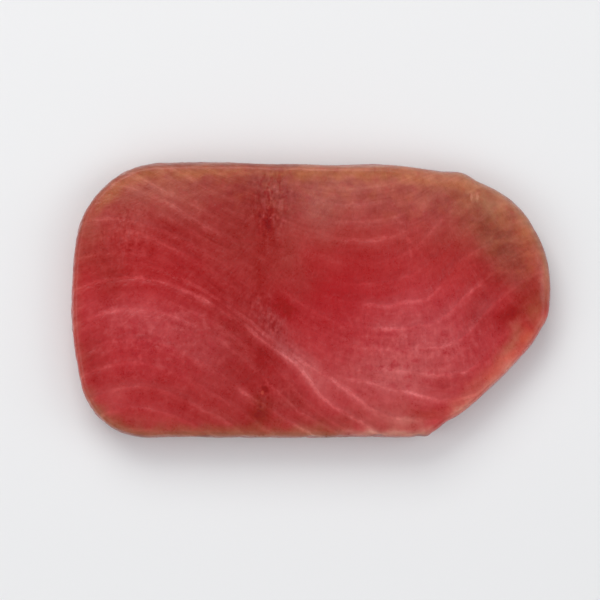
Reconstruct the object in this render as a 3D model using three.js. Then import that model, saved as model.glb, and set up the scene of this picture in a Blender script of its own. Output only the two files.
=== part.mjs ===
// Raw tuna loin fillet: one thick slice cut across a skinned loin, lying flat on its cut face.
// Millimetres, +Z up. X runs along the slice, Y across it. The origin is the centre of the
// slice's own box, on the flat face that it lies on.
//
// The form is one closed slab:
//  - an outline made of straight cuts and rounded corners (a long upper cut, a big round shoulder
//    where the skin was, a blunt nose, a bowed slanting cut, a long lower cut, a round butt end),
//  - a top face that is a little crowned, thinner towards the nose, with soft undulations,
//  - a side that rolls over at the top, leans out to a belly, and tucks in under the slab.

import * as THREE from "three";

// ---- driving dimensions, mm ----
const LENGTH = 186.4; // over all, along X
const WIDTH = 107.2; // over all, along Y
const THICK = 18.2; // at the thickest place
const NOSE_THIN = 3.0; // how much thinner the slice is at the nose
const BUTT_THIN = 1.6; // and at the butt end
const CUT_THIN = 1.4; // and along the slanting cut

// Corners of the outline before rounding: x, y and the rounding radius, going anticlockwise.
const SHOULDER = { x: 93.4, y: 43.8, r: 44.7 }; // the round skin side, upper right
const BROW = { x: 30.3, y: 52.8, r: 70.0 }; // where the upper cut starts to fall away
const BUTT_TOP = { x: -87.0, y: 53.6, r: 34.0 }; // upper corner of the butt end
const BUTT_MID = { x: -94.2, y: -6.0, r: 120.0 }; // the bow of the butt end
const BUTT_LOW = { x: -85.0, y: -53.4, r: 27.0 }; // lower corner of the butt end
const TOE = { x: 45.9, y: -53.3, r: 5.7 }; // where the lower cut meets the slanting cut
const KNEE = { x: 73.9, y: -32.6, r: 111.5 }; // the bow of the slanting cut
const NOSE = { x: 92.9, y: -7.0, r: 9.8 }; // where the slanting cut meets the end
const CORNERS = [SHOULDER, BROW, BUTT_TOP, BUTT_MID, BUTT_LOW, TOE, KNEE, NOSE];

// Small unevenness of the outline.
const WAVE = 0.28; // height of the soft waves along the edge
// Lumps and hollows of the edge: where, how far it stands out there, and over what distance.
const LUMPS = [
  { x: 57.9, y: 46.2, out: 1.3, width: 5.0 }, // a small step left by the skinning knife
  { x: 63.4, y: 43.0, out: -0.91, width: 4.0 },
  { x: 42.0, y: -53.4, out: -0.5, width: 2.6 }, // a shallow nick beside the toe
  { x: 11.0, y: 53.0, out: -0.45, width: 16.0 }, // a dip in the upper cut
  { x: 92.0, y: -7.0, out: -0.5, width: 5.0 },
  { x: 86.0, y: -18.0, out: 0.7, width: 7.0 }, // two bows in the slanting cut
  { x: 70.0, y: -35.0, out: -0.55, width: 8.0 },
  { x: 55.5, y: -46.5, out: 0.9, width: 4.5 },
];

// Side of the slab.
const ROLL_IN = 3.4; // how far in from the outline the top starts to roll over
const ROLL_SKIN = 3.8; // more than that on the skin side
const ROLL_SLANT = -0.8; // and less along the slanting cut
const ROLL_DROP = 4.4; // how far the roll-over comes down
const LEAN = 0.5; // how far the wall leans in from belly to roll-over
const BELLY_Z = 4.4; // height of the widest place
const TUCK_IN = 2.4; // how far the lower edge tucks in to the flat face

// ---- how finely the faceted solid follows that form ----
const COLUMNS = 50; // facets of the top, along X
const ROWS = 28; // and along Y
const ROLL_STEPS = 5;
const WALL_STEPS = 3;
const TUCK_STEPS = 3;
const OUTLINE_SAMPLES = 4800;

// ---- outline ----

// A closed chain of straight edges with each corner replaced by a circular arc.
function roundedChain(corners) {
  const dense = [];
  const n = corners.length;
  for (let i = 0; i < n; i++) {
    const a = corners[(i + n - 1) % n];
    const b = corners[i];
    const c = corners[(i + 1) % n];
    const inX = b.x - a.x;
    const inY = b.y - a.y;
    const outX = c.x - b.x;
    const outY = c.y - b.y;
    const inL = Math.hypot(inX, inY);
    const outL = Math.hypot(outX, outY);
    const ux = inX / inL;
    const uy = inY / inL;
    const vx = outX / outL;
    const vy = outY / outL;
    const turn = Math.atan2(ux * vy - uy * vx, ux * vx + uy * vy);
    const back = b.r * Math.tan(Math.abs(turn) / 2);
    const startX = b.x - ux * back;
    const startY = b.y - uy * back;
    // the arc's centre is to the left of the incoming edge for a left turn
    const side = Math.sign(turn);
    const cx = startX - uy * b.r * side;
    const cy = startY + ux * b.r * side;
    const steps = Math.max(6, Math.ceil((Math.abs(turn) * b.r) / 0.6));
    for (let k = 0; k <= steps; k++) {
      const angle = (turn * k) / steps;
      const rx = startX - cx;
      const ry = startY - cy;
      dense.push([
        cx + rx * Math.cos(angle) - ry * Math.sin(angle),
        cy + rx * Math.sin(angle) + ry * Math.cos(angle),
      ]);
    }
  }
  return dense;
}

// The same closed chain with points at equal distances along it.
function evenly(chain, count) {
  const far = [0];
  for (let i = 0; i < chain.length; i++) {
    const p = chain[i];
    const q = chain[(i + 1) % chain.length];
    far.push(far[i] + Math.hypot(q[0] - p[0], q[1] - p[1]));
  }
  const total = far[chain.length];
  const out = [];
  let i = 0;
  for (let k = 0; k < count; k++) {
    const want = (total * k) / count;
    while (far[i + 1] < want) i++;
    const p = chain[i % chain.length];
    const q = chain[(i + 1) % chain.length];
    const t = (want - far[i]) / Math.max(far[i + 1] - far[i], 1e-9);
    out.push([p[0] + (q[0] - p[0]) * t, p[1] + (q[1] - p[1]) * t]);
  }
  return out;
}

// Outward direction at each point, averaged over some distance so that tight corners stay smooth.
function outward(points, reach) {
  const n = points.length;
  return points.map((_, i) => {
    const a = points[(i + n - reach) % n];
    const b = points[(i + reach) % n];
    const tx = b[0] - a[0];
    const ty = b[1] - a[1];
    const l = Math.hypot(tx, ty);
    return [ty / l, -tx / l];
  });
}

const bump = (x, y, at, width) =>
  Math.exp(-((x - at.x) ** 2 + (y - at.y) ** 2) / (width * width));

// Distance that the edge stands out from the plain rounded chain, at a share s of the way round.
function unevenness(s, x, y) {
  const w = 2 * Math.PI * s;
  const waves =
    0.5 * Math.sin(7 * w + 0.6) +
    0.3 * Math.sin(13 * w + 2.1) +
    0.2 * Math.sin(23 * w + 4.0);
  return LUMPS.reduce(
    (sum, lump) => sum + lump.out * bump(x, y, lump, lump.width),
    WAVE * waves,
  );
}

function makeOutline() {
  const even = evenly(roundedChain(CORNERS), OUTLINE_SAMPLES);
  const dirs = outward(even, 24);
  const rough = even.map(([x, y], i) => {
    const d = unevenness(i / OUTLINE_SAMPLES, x, y);
    return [x + dirs[i][0] * d, y + dirs[i][1] * d];
  });
  const xs = rough.map((p) => p[0]);
  const ys = rough.map((p) => p[1]);
  const x0 = xs.reduce((a, b) => Math.min(a, b));
  const x1 = xs.reduce((a, b) => Math.max(a, b));
  const y0 = ys.reduce((a, b) => Math.min(a, b));
  const y1 = ys.reduce((a, b) => Math.max(a, b));
  // brought to the stated length and width, and centred
  return rough.map(([x, y]) => [
    ((x - (x0 + x1) / 2) * LENGTH) / (x1 - x0),
    ((y - (y0 + y1) / 2) * WIDTH) / (y1 - y0),
  ]);
}

const outline = makeOutline();
const facing = outward(outline, 60);

// ---- heights ----

const smooth = (a, b, t) => {
  const k = Math.min(1, Math.max(0, (t - a) / (b - a)));
  return k * k * (3 - 2 * k);
};

// Share of the skin side: 1 round the shoulder, 0 on the knife cuts.
const skinSide = (x, y) =>
  smooth(20, 62, x) * smooth(-16, 8, y) * smooth(36, 62, Math.hypot(x, y));

// Share of the slanting cut.
const slanting = (x, y) => smooth(48, 60, x) * smooth(6, -10, y);

// Height of the top face, before its edge rolls over.
function topHeight(x, y) {
  const nose = smooth(15, 100, x) * NOSE_THIN;
  const butt = smooth(35, 100, -x) * BUTT_THIN;
  const slant = smooth(70, 100, x * 0.72 - y * 0.7) * CUT_THIN;
  const crown = 0.9 * ((x / 93) ** 2 * 0.35 + (y / 53) ** 2 * 0.65);
  const soft =
    0.3 * Math.sin(x * 0.062 + y * 0.021 + 0.4) +
    0.22 * Math.sin(x * 0.035 - y * 0.105 + 1.9) +
    0.14 * Math.sin(x * 0.121 + y * 0.088 + 3.3);
  return THICK - 0.45 - nose - butt - slant - crown + soft;
}

// How far over and how far down a rim has come at each step as it turns from flat to upright.
// The turn starts gently.
function rolled(steps) {
  const fine = 600;
  const over = [0];
  const down = [0];
  const angle = (i) => (Math.PI / 2) * (i / (fine - 1)) ** 1.45;
  for (let i = 1; i < fine; i++) {
    over.push(over[i - 1] + (Math.cos(angle(i)) + Math.cos(angle(i - 1))) / 2);
    down.push(down[i - 1] + (Math.sin(angle(i)) + Math.sin(angle(i - 1))) / 2);
  }
  return Array.from({ length: steps + 1 }, (_, k) => {
    const i = Math.round((k / steps) * (fine - 1));
    return { over: over[i] / over[fine - 1], down: down[i] / down[fine - 1] };
  });
}

// The roll-over as a list of places from the top's rim down to the wall: each has an inset from
// the outline and a drop from the top.
const rollSteps = rolled(ROLL_STEPS);
function sideProfile(x, y) {
  const rollIn =
    ROLL_IN + ROLL_SKIN * skinSide(x, y) + ROLL_SLANT * slanting(x, y);
  return rollSteps.map(({ over, down }) => ({
    inset: LEAN + (rollIn - LEAN) * (1 - over),
    drop: ROLL_DROP * down,
  }));
}

// ---- the mesh ----

// The outline as a loop that starts and turns with the four corners of the facet grid.
const GRID_CORNERS = [
  { x: -82, y: -44 },
  { x: 70, y: -38 },
  { x: 76, y: 38 },
  { x: -82, y: 44 },
];
const nearest = (at) => {
  let best = 0;
  let least = Infinity;
  outline.forEach(([x, y], i) => {
    const d = Math.hypot(x - at.x, y - at.y);
    if (d < least) {
      least = d;
      best = i;
    }
  });
  return best;
};
const anchors = GRID_CORNERS.map(nearest);
const COUNTS = [COLUMNS, ROWS, COLUMNS, ROWS];
const LOOP = 2 * (COLUMNS + ROWS);
const N = OUTLINE_SAMPLES;

// Sample number of the outline for each place of the loop.
function loopSample(k) {
  let side = 0;
  let rest = ((k % LOOP) + LOOP) % LOOP;
  while (rest >= COUNTS[side]) {
    rest -= COUNTS[side];
    side++;
  }
  const a = anchors[side];
  const b = anchors[(side + 1) % 4];
  const span = (b - a + N) % N;
  return (a + (span * rest) / COUNTS[side]) % N;
}

function edgePoint(k, inset) {
  const s = loopSample(k);
  const i = Math.floor(s) % N;
  const j = (i + 1) % N;
  const t = s - Math.floor(s);
  const x = outline[i][0] * (1 - t) + outline[j][0] * t;
  const y = outline[i][1] * (1 - t) + outline[j][1] * t;
  const nx = facing[i][0] * (1 - t) + facing[j][0] * t;
  const ny = facing[i][1] * (1 - t) + facing[j][1] * t;
  return [x - nx * inset, y - ny * inset, x, y];
}

const vertices = [];
const faces = [];
const put = (x, y, z) => vertices.push([x, y, z]) - 1;

// Top face: a grid whose rim is the loop at the start of the roll-over.
const rim = [];
for (let k = 0; k < LOOP; k++) {
  const [, , ox, oy] = edgePoint(k, 0);
  const profile = sideProfile(ox, oy);
  const [x, y] = edgePoint(k, profile[0].inset);
  rim.push([x, y]);
}
// Place on the loop of a point on the rim of the square from -1 to 1.
function loopPlace(u, v) {
  if (v <= -0.999999) return ((u + 1) / 2) * COLUMNS;
  if (u >= 0.999999) return COLUMNS + ((v + 1) / 2) * ROWS;
  if (v >= 0.999999) return COLUMNS + ROWS + ((1 - u) / 2) * COLUMNS;
  return (2 * COLUMNS + ROWS + ((1 - v) / 2) * ROWS) % LOOP;
}
const grid = [];
for (let j = 0; j <= ROWS; j++) {
  grid.push([]);
  for (let i = 0; i <= COLUMNS; i++) {
    const u = (2 * i) / COLUMNS - 1;
    const v = (2 * j) / ROWS - 1;
    const far = Math.max(Math.abs(u), Math.abs(v));
    let x = 0;
    let y = 0;
    if (far > 1e-9) {
      const place = loopPlace(u / far, v / far);
      const a = rim[Math.floor(place + 1e-9) % LOOP];
      const b = rim[(Math.floor(place + 1e-9) + 1) % LOOP];
      const t = place - Math.floor(place + 1e-9);
      x = far * (a[0] * (1 - t) + b[0] * t);
      y = far * (a[1] * (1 - t) + b[1] * t);
    }
    grid[j].push(put(x, y, topHeight(x, y)));
  }
}
for (let j = 0; j < ROWS; j++)
  for (let i = 0; i < COLUMNS; i++) {
    const a = grid[j][i];
    const b = grid[j][i + 1];
    const c = grid[j + 1][i + 1];
    const d = grid[j + 1][i];
    // the diagonal follows the direction out from the middle
    if (i < COLUMNS / 2 === j < ROWS / 2) faces.push([a, b, c], [a, c, d]);
    else faces.push([a, b, d], [b, c, d]);
  }

let ring = [];
for (let i = 0; i < COLUMNS; i++) ring.push(grid[0][i]);
for (let j = 0; j < ROWS; j++) ring.push(grid[j][COLUMNS]);
for (let i = COLUMNS; i > 0; i--) ring.push(grid[ROWS][i]);
for (let j = ROWS; j > 0; j--) ring.push(grid[j][0]);

function nextRing(place) {
  const made = [];
  for (let k = 0; k < LOOP; k++) made.push(place(k));
  for (let k = 0; k < LOOP; k++) {
    const l = (k + 1) % LOOP;
    faces.push([ring[k], made[k], made[l]], [ring[k], made[l], ring[l]]);
  }
  ring = made;
}

// Roll-over.
for (let s = 1; s <= ROLL_STEPS; s++)
  nextRing((k) => {
    const [, , ox, oy] = edgePoint(k, 0);
    const at = sideProfile(ox, oy)[s];
    const [x, y] = edgePoint(k, at.inset);
    return put(x, y, topHeight(x, y) - at.drop);
  });
// Leaning wall, down to the belly.
for (let s = 1; s <= WALL_STEPS; s++)
  nextRing((k) => {
    const t = s / WALL_STEPS;
    const [x, y] = edgePoint(k, LEAN * (1 - Math.sin((t * Math.PI) / 2)));
    const from = topHeight(...edgePoint(k, LEAN).slice(0, 2)) - ROLL_DROP;
    return put(x, y, from + (BELLY_Z - from) * t);
  });
// Tuck, down to the flat face.
for (let s = 1; s <= TUCK_STEPS; s++)
  nextRing((k) => {
    const a = ((s / TUCK_STEPS) * Math.PI) / 2;
    const [x, y] = edgePoint(k, TUCK_IN * (1 - Math.cos(a)));
    return put(x, y, s === TUCK_STEPS ? 0 : BELLY_Z * (1 - Math.sin(a)));
  });
// Flat face.
const contour = ring.map(
  (i) => new THREE.Vector2(vertices[i][0], vertices[i][1]),
);
for (const [a, b, c] of THREE.ShapeUtils.triangulateShape(contour, []))
  faces.push([ring[a], ring[c], ring[b]]);

const geometry = new THREE.BufferGeometry();
geometry.setAttribute(
  "position",
  new THREE.Float32BufferAttribute(vertices.flat(), 3),
);
geometry.setIndex(faces.flat());
geometry.computeVertexNormals();

const flesh = new THREE.MeshStandardMaterial({
  color: new THREE.Color(0.66, 0.2, 0.2),
  roughness: 0.42,
  metalness: 0,
});
const fillet = new THREE.Mesh(geometry, flesh);
fillet.name = "tuna_fillet";

const part = new THREE.Group();
part.add(fillet);
export default part;
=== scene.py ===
import math

import bpy
import numpy as np
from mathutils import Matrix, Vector


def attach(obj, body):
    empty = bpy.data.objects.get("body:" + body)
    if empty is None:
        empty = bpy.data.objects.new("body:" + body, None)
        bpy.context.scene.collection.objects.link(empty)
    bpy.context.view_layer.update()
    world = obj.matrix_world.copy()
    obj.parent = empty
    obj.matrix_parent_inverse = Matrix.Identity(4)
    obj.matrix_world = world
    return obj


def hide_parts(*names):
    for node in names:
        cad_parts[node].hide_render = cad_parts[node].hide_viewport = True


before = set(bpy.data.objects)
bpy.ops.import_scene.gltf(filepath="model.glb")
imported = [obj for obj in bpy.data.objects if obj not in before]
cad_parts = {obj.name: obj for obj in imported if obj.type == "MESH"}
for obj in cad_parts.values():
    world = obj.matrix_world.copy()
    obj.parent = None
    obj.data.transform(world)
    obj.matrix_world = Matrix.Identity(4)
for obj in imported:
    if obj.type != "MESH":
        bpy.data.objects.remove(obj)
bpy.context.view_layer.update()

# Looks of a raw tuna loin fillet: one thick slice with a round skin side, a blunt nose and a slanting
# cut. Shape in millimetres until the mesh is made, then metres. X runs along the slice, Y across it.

# ---- form of the slice, as the solid has it, mm ----
LENGTH, WIDTH, THICK = 186.4, 107.2, 18.2
NOSE_THIN, BUTT_THIN, CUT_THIN = 3.0, 1.6, 1.4
CORNERS = [  # x, y and rounding radius, anticlockwise from the round shoulder
    (93.4, 43.8, 44.7),
    (30.3, 52.8, 70.0),
    (-87.0, 53.6, 34.0),
    (-94.2, -6.0, 120.0),
    (-85.0, -53.4, 27.0),
    (45.9, -53.3, 5.7),
    (73.9, -32.6, 111.5),
    (92.9, -7.0, 9.8),
]
WAVE = 0.28
LUMPS = [  # x, y, how far the edge stands out there, and over what distance
    (57.9, 46.2, 1.3, 5.0),  # a small step left by the skinning knife
    (63.4, 43.0, -0.91, 4.0),
    (42.0, -53.4, -0.5, 2.6),  # a shallow nick beside the toe
    (11.0, 53.0, -0.45, 16.0),
    (92.0, -7.0, -0.5, 5.0),
    (86.0, -18.0, 0.7, 7.0),
    (70.0, -35.0, -0.55, 8.0),
    (57.0, -45.6, 0.25, 4.0),
    (52.4, -48.6, -0.85, 5.8),  # the toe is a little hollow
    (47.2, -52.8, -0.6, 2.4),
]
ROLL_IN, ROLL_SKIN, ROLL_SLANT, ROLL_DROP = 3.4, 3.8, -0.8, 4.4
LEAN, BELLY_Z, TUCK_IN = 0.5, 4.4, 2.4

# ---- how fine the mesh is ----
COLUMNS, ROWS = 300, 172  # of the top face
ROLL_STEPS, WALL_STEPS, TUCK_STEPS = 14, 11, 4
OUTLINE_SAMPLES = 4800

# ---- pale sheets of connective tissue between the muscle blocks ----
# Each is a course across the slice, from the skin side down, and its strength along it:
# (x, y) places that the course runs through, and (x, strength) places.
SEPTA = [
    (
        [(-96.7, 69.4), (-42.8, 54), (-4.3, 44.7), (19.2, 43.6), (29.9, 45.1), (45.7, 50.9), (80.4, 69.4)],
        [(-96.7, 0), (-42.8, 0.1), (7.2, 0.15), (16.9, 0.42), (26.5, 0.4), (31.1, 0.3), (35.7, 0.08), (80.4, 0)],
    ),
    (
        [(-96.7, 78.6), (-65.9, 64.7), (-42.8, 52), (-20.8, 45.1), (-0.1, 40.1), (11.5, 37.4), (24.6, 38.2), (31.5, 39.3), (45.7, 45.1), (65, 57.8)],
        [(-96.7, 0.05), (-42.8, 0.12), (-8.1, 0.1), (-0.1, 0.12), (11.1, 0.42), (21.9, 0.45), (27.3, 0.15), (32.6, 0.05), (72.7, 0.05)],
    ),
    (
        [(-96.7, 73.2), (-65.9, 60.1), (-42.8, 48.2), (-20.8, 40.1), (-0.1, 33.2), (14.9, 30.1), (26.5, 30.9), (38, 34.3), (49.6, 41.3), (65, 52)],
        [(-96.7, 0.1), (-62, 0.18), (-31.2, 0.1), (-4.3, 0.18), (11.1, 0.28), (26.5, 0.33), (33, 0.36), (40.3, 0.1), (72.7, 0)],
    ),
    (
        [(-96.7, 67.8), (-77.4, 60.9), (-62, 54.7), (-42.8, 44.7), (-20.8, 35.5), (-4.3, 28.2), (12.2, 23.6), (23.8, 23.2), (34.6, 25.5), (45.7, 30.9), (57.3, 39.3), (72.7, 50.9)],
        [(-96.7, 0.1), (-54.3, 0.32), (-35.1, 0.28), (-19.7, 0.06), (5.3, 0.08), (11.9, 0.45), (20.7, 0.65), (32.3, 0.45), (36.1, 0.15), (72.7, 0.05)],
    ),
    (
        [(-96.7, 61.7), (-81.3, 58.2), (-65.9, 52.4), (-54.3, 46.7), (-42.8, 40.5), (-20.8, 30.1), (-4.3, 21.3), (11.1, 15.9), (22.6, 14.7), (34.2, 17), (40.7, 20.9), (46.9, 27.8), (57.3, 36.7), (76.5, 48.2)],
        [(-96.7, 0.15), (-77.4, 0.3), (-54.3, 0.1), (-20.8, 0.1), (11.1, 0.12), (34.2, 0.18), (40, 0.45), (47.6, 0.45), (53.4, 0.12), (76.5, 0)],
    ),
    (
        [(-96.7, 52), (-85.1, 52.4), (-75.5, 50.9), (-65.9, 47), (-54.3, 41.3), (-42.8, 35.1), (-20.8, 24), (-4.3, 14.7), (9.2, 7.4), (22.3, 6.3), (29.9, 6.6), (36.1, 8.6), (40, 10.1), (49.6, 17.4), (61.1, 27.8), (76.5, 38.6), (88.1, 44.4)],
        [(-96.7, 0.3), (-73.6, 0.5), (-50.5, 0.42), (-31.2, 0.18), (-0.5, 0.06), (16.9, 0.12), (21.1, 0.38), (24.9, 0.38), (38.8, 0.42), (41.9, 0.1), (88.1, 0.05)],
    ),
    (
        [(-96.7, 43.2), (-85.1, 45.5), (-75.5, 44.7), (-65.9, 42.4), (-54.3, 37), (-42.8, 30.1), (-20.8, 17.8), (-4.3, 7), (9.2, 0.5), (22.3, -1.4), (29.9, -2.2), (35.3, -0.7), (45.3, 0.9), (51.5, 7), (59.2, 15.5), (71.5, 23.2), (76.9, 26.3), (88.1, 31.7)],
        [(-96.7, 0.1), (-77.4, 0.2), (-58.2, 0.5), (-38.9, 0.45), (-20.8, 0.15), (3.4, 0.08), (19.6, 0.2), (22.3, 1.5), (30.3, 1.3), (34.2, 0.8), (38.8, 0.55), (47.6, 0.42), (52.3, 0.3), (72.7, 0.35), (77.3, 0.15), (88.1, 0.05)],
    ),
    (
        [(-96.7, 36.3), (-85.1, 39.7), (-75.5, 40.1), (-65.9, 37.4), (-54.3, 31.3), (-42.8, 24.7), (-20.8, 11.6), (-7, 0.9), (13, -9.1), (23.8, -10.7), (33, -10.7), (40, -9.9), (46.9, -8.8), (50.7, -6.4), (59.2, 0.9), (66.9, 7.8), (76.5, 14.7), (90, 21.3)],
        [(-96.7, 0.1), (-69.7, 0.1), (-50.5, 0.3), (-27.4, 0.2), (-7, 0.22), (13, 0.26), (21.1, 0.2), (25.7, 0.4), (29.2, 0.9), (33.4, 0.8), (38, 0.5), (45.7, 0.6), (49.6, 0.95), (58, 0.9), (63, 0.6), (68, 0.35), (72.7, 0.12), (90, 0.08)],
    ),
    (
        [(-96.7, 27.4), (-85.1, 31.3), (-75.5, 31.7), (-65.9, 29.7), (-54.3, 25.5), (-42.8, 19.3), (-20.8, 5.1), (-4.3, -6.8), (9.2, -15.3), (22.3, -18.4), (40, -18.8), (47.6, -18), (54.6, -16.1), (61.5, -11.4), (69.2, -3), (73.8, 1.6), (83.8, 8.6), (93.8, 13.2)],
        [(-96.7, 0.5), (-77.4, 0.6), (-62, 0.55), (-42.8, 0.3), (-20.8, 0.15), (3.4, 0.12), (20.7, 0.2), (23.4, 0.55), (40, 0.5), (54.2, 0.5), (58, 0.85), (63.4, 0.85), (72.7, 0.55), (75.7, 0.3), (84.2, 0.15), (88.1, 0.1)],
    ),
    (
        [(-96.7, 22), (-85.1, 25.9), (-75.5, 27), (-65.9, 25.5), (-54.3, 20.5), (-42.8, 13.6), (-20.8, -1.4), (-4.3, -13.8), (11.1, -23), (28.4, -26.8), (38.4, -27.6), (48.4, -29.1), (55.3, -28), (61.5, -26.1), (65.3, -23), (72.7, -15.3), (84.2, -3.7), (95.7, 3.2)],
        [(-96.7, 0.1), (-77.4, 0.12), (-58.2, 0.4), (-37, 0.5), (-20.8, 0.2), (7.2, 0.1), (25.7, 0.25), (29.6, 0.6), (41.9, 0.55), (49.6, 0.8), (58.8, 0.85), (62.3, 0.4), (65, 0.2), (69.6, 0.1), (95.7, 0.05)],
    ),
    (
        [(-96.7, 13.2), (-85.1, 17.4), (-75.5, 18.6), (-65.9, 17.4), (-54.3, 14), (-42.8, 7.4), (-20.8, -7.6), (-9.3, -16.4), (2.2, -25.3), (10.7, -29.5), (22.3, -31.8), (28.4, -33.4), (36.1, -35.1), (42.3, -36.8), (48.4, -38.4), (56.1, -38), (61.5, -37.2), (70.7, -30.7), (82.3, -19.1), (95.7, -7.6)],
        [(-96.7, 0.3), (-69.7, 0.4), (-54.3, 0.15), (-20.8, 0.12), (-4.3, 0.2), (13, 0.25), (19.6, 0.55), (23.4, 0.85), (34.2, 0.9), (49.6, 0.8), (61.1, 0.65), (65, 0.2), (95.7, 0.1)],
    ),
    (
        [(-96.7, 8.2), (-85.1, 12.8), (-75.5, 14.3), (-65.9, 14), (-54.3, 10.5), (-42.8, 4.7), (-20.8, -10.7), (-9.3, -19.5), (-0.8, -25.3), (9.2, -31.5), (19.2, -39.1), (29.9, -44.5), (36.1, -45.7), (43.8, -46.1), (53.4, -44.9), (65, -40.3), (76.5, -32.6), (90, -21.1)],
        [(-96.7, 0.2), (-77.4, 0.3), (-54.3, 0.4), (-20.8, 0.5), (-8.1, 0.7), (-0.5, 0.52), (4.2, 0.62), (9.2, 0.65), (14.9, 0.75), (20.7, 0.75), (34.2, 0.95), (40, 0.8), (45, 0.35), (49.6, 0.2), (90, 0.1)],
    ),
    (
        [(-96.7, 1.6), (-85.1, 6.6), (-75.5, 8.6), (-65.9, 8.6), (-54.3, 6.3), (-42.8, 0.9), (-31.2, -6.1), (-20.8, -13.4), (-15.5, -17.6), (-4.7, -26.1), (3.8, -36.8), (15.3, -44.5), (23.8, -50.5), (34.2, -56.1), (49.6, -58.4), (72.7, -53.8), (95.7, -38.4)],
        [(-96.7, 0.5), (-73.6, 0.75), (-42.8, 0.7), (-23.5, 0.7), (-17.8, 0.55), (-12, 0.7), (-7.4, 0.8), (-3.1, 0.68), (0.3, 0.5), (4.6, 0.5), (11.1, 1.25), (23.8, 1.3), (34.2, 0.5), (95.7, 0.3)],
    ),
    (
        [(-96.7, -6.4), (-85.1, -1.1), (-75.5, 1.6), (-65.9, 2), (-54.3, -0.7), (-42.8, -6.1), (-20.8, -20.7), (-13.9, -26.1), (-4.3, -36.5), (7.2, -46.1), (16.9, -51.8), (28.4, -57.2), (49.6, -62.2), (80.4, -60.7)],
        [(-96.7, 0.2), (-69.7, 0.1), (-42.8, 0.25), (-20.8, 0.3), (-4.3, 0.3), (18.8, 0.3), (80.4, 0.2)],
    ),
    (
        [(-96.7, -11.4), (-85.1, -6.8), (-75.5, -3.7), (-65.9, -3.4), (-54.3, -5.7), (-42.8, -10.7), (-20.8, -27.2), (-11.6, -36.8), (-5.5, -42.2), (0.7, -46.1), (9.2, -50.7), (22.6, -57.2), (41.9, -63.8), (80.4, -67.2)],
        [(-96.7, 0.5), (-77.4, 0.6), (-54.3, 0.55), (-35.1, 0.3), (-17.8, 0.25), (-5.1, 0.35), (0.3, 0.8), (11.1, 0.8), (80.4, 0.2)],
    ),
    (
        [(-96.7, -24.5), (-85.1, -18.8), (-75.5, -15.7), (-65.9, -15.3), (-54.3, -18), (-42.8, -23.8), (-20.8, -39.1), (-12.4, -44.9), (-6.2, -48), (-0.1, -51.5), (14.9, -57.6), (34.2, -64.5), (80.4, -73.8)],
        [(-96.7, 0.2), (-73.6, 0.35), (-46.6, 0.6), (-21.6, 0.65), (-15.8, 0.85), (-12, 1), (1.5, 1), (80.4, 0.2)],
    ),
    (
        [(-96.7, -33), (-85.1, -27.6), (-75.5, -24.5), (-65.9, -24.1), (-54.3, -27.2), (-42.8, -33), (-27.4, -43), (-20.8, -47.6), (-13.9, -52.2), (-0.5, -59.2), (34.2, -70.7), (80.4, -80.3)],
        [(-96.7, 0.4), (-77.4, 0.45), (-58.2, 0.2), (-31.2, 0.3), (-13.9, 0.45), (80.4, 0.2)],
    ),
    (
        [(-96.7, -45.7), (-89, -40.3), (-81.3, -36.5), (-71.6, -33.8), (-60.1, -34.1), (-48.6, -38.4), (-37, -44.9), (-27.4, -50.7), (-15.8, -57.6), (14.9, -71.5), (80.4, -86.9)],
        [(-96.7, 0.3), (-77.4, 0.3), (-62, 0.5), (-42.8, 0.45), (-19.7, 0.4), (80.4, 0.2)],
    ),
    (
        [(-96.7, -53), (-89, -48), (-81.3, -44.2), (-71.6, -41.8), (-60.1, -42.6), (-48.6, -46.8), (-37, -53), (-19.7, -62.2), (34.2, -84.6), (80.4, -93.4)],
        [(-96.7, 0.3), (-73.6, 0.5), (-42.8, 0.35), (80.4, 0.2)],
    ),
    (
        [(-96.7, -59.9), (-81.3, -53), (-71.6, -50.3), (-60.1, -50.7), (-48.6, -54.5), (-27.4, -67.6), (80.4, -99.9)],
        [(-96.7, 0.3), (-69.7, 0.3), (80.4, 0.2)],
    ),
]
SEPTA_LEAN = (-0.16, 0.42)  # how far the sheets shift per mm of depth, in x and y
FAN_AT = (29.0, 96.0)  # the muscle fibres fan out from about here
LEAST_GAP = 1.8

# ---- faint seams across the courses: places that each runs through, and its strength ----
SEAMS = [
    ([(31.2, 47.5), (31.4, 43.5), (31.4, 38.5), (32.2, 33.0), (35.4, 27.0), (38.0, 22.0), (38.8, 14.7), (38.4, 7.0)], 0.5),
    ([(-46.6, 50.1), (-44.3, 38.6), (-40.5, 26.3), (-39.5, 17.0)], 0.35),
    ([(-73.6, 0.1), (-70.5, -11.4), (-65.9, -20.0), (-64.5, -30.0)], 0.3),
]


# ---- helpers ----
def smooth(a, b, t):
    k = np.clip((t - a) / (b - a), 0.0, 1.0)
    return k * k * (3 - 2 * k)


def hashed(ix, iy, iz, seed):
    """Numbers from 0 to 1 that look random, one for each cell of a grid."""
    h = (
        ix.astype(np.int64) * 374761393
        + iy.astype(np.int64) * 668265263
        + iz.astype(np.int64) * 2147483647
        + seed * 1274126177
    ) & 0xFFFFFFFF
    h = ((h ^ (h >> 13)) * 1274126177) & 0xFFFFFFFF
    h = ((h ^ (h >> 16)) * 2246822519) & 0xFFFFFFFF
    h = h ^ (h >> 15)
    return (h & 0xFFFFFF) / float(0xFFFFFF)


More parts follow.
